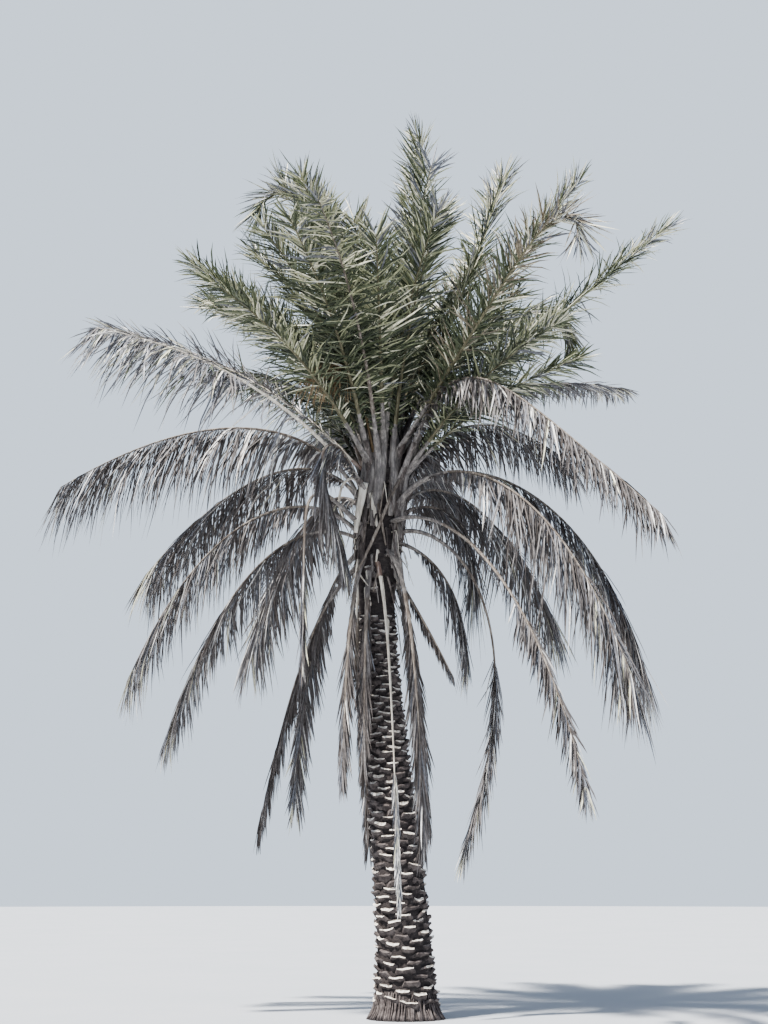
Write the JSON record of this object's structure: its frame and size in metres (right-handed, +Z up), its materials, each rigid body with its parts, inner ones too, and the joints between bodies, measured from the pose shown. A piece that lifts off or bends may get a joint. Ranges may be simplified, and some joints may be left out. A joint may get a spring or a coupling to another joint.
{
  "type": "date palm tree",
  "caption": "Tall date palm with one slightly leaning trunk of cut leaf bases and a wide crown of upright green and hanging dry feather fronds.",
  "frame": {"origin": "middle of the flat-cut foot of the trunk, on the ground", "axes": "+Z up along the trunk, +X to the right in the picture, +Y away from the viewer"},
  "size_m": [8.3864, 7.5858, 11.74],
  "materials": {
    "trunk": "rough cut leaf bases, weathered grey brown",
    "frond_green": "matt, slightly waxy leaflets",
    "frond_dry": "dry, dull grey brown leaflets"
  },
  "bodies": {
    "root": {"frond_arching_1": "frond_dry", "frond_arching_2": "frond_dry", "frond_arching_3": "frond_dry", "frond_arching_4": "frond_dry", "frond_crest": "frond_green", "frond_falling_1": "frond_dry", "frond_falling_2": "frond_dry", "frond_falling_4": "frond_dry", "frond_front_hang": "frond_dry", "frond_green_1": "frond_green", "frond_green_2": "frond_green", "frond_green_3": "frond_green", "frond_hanging_1": "frond_dry", "frond_hanging_2": "frond_dry", "frond_hanging_3": "frond_dry", "frond_hanging_4": "frond_dry", "frond_left_arch_high": "frond_green", "frond_left_arch_low": "frond_dry", "frond_left_broken": "frond_dry", "frond_left_curl": "frond_dry", "frond_left_hang": "frond_dry", "frond_left_hang_low": "frond_dry", "frond_left_hook": "frond_green", "frond_left_plume": "frond_green", "frond_mature_1": "frond_green", "frond_mature_2": "frond_dry", "frond_mature_3": "frond_dry", "frond_mature_4": "frond_green", "frond_right_arch_back": "frond_dry", "frond_right_arch_front_inner": "frond_dry", "frond_right_arch_front_outer": "frond_dry", "frond_right_arch_high_inner": "frond_dry", "frond_right_arch_high_outer": "frond_dry", "frond_right_arch_rear_inner": "frond_dry", "frond_right_arch_rear_outer": "frond_dry", "frond_right_arch_short": "frond_dry", "frond_right_fall": "frond_dry", "frond_right_fall_long": "frond_dry", "frond_right_fall_short": "frond_dry", "frond_right_fall_tip": "frond_dry", "frond_right_hang": "frond_dry", "frond_right_hook_inner": "frond_green", "frond_right_hook_outer": "frond_green", "frond_right_level": "frond_dry", "frond_right_plume": "frond_green", "frond_right_plume_low": "frond_green", "frond_right_snapped": "frond_green", "frond_right_spear": "frond_green", "frond_right_stub": "frond_dry", "frond_young_1": "frond_green", "frond_young_2": "frond_green", "frond_young_3": "frond_green", "frond_young_4": "frond_green", "fronds_back": "frond_green", "fronds_front": "frond_green", "fronds_left_back": "frond_green", "fronds_left_front": "frond_green", "fronds_right_back": "frond_green", "fronds_right_front": "frond_green", "trunk": "trunk"}
  },
  "joints": []
}
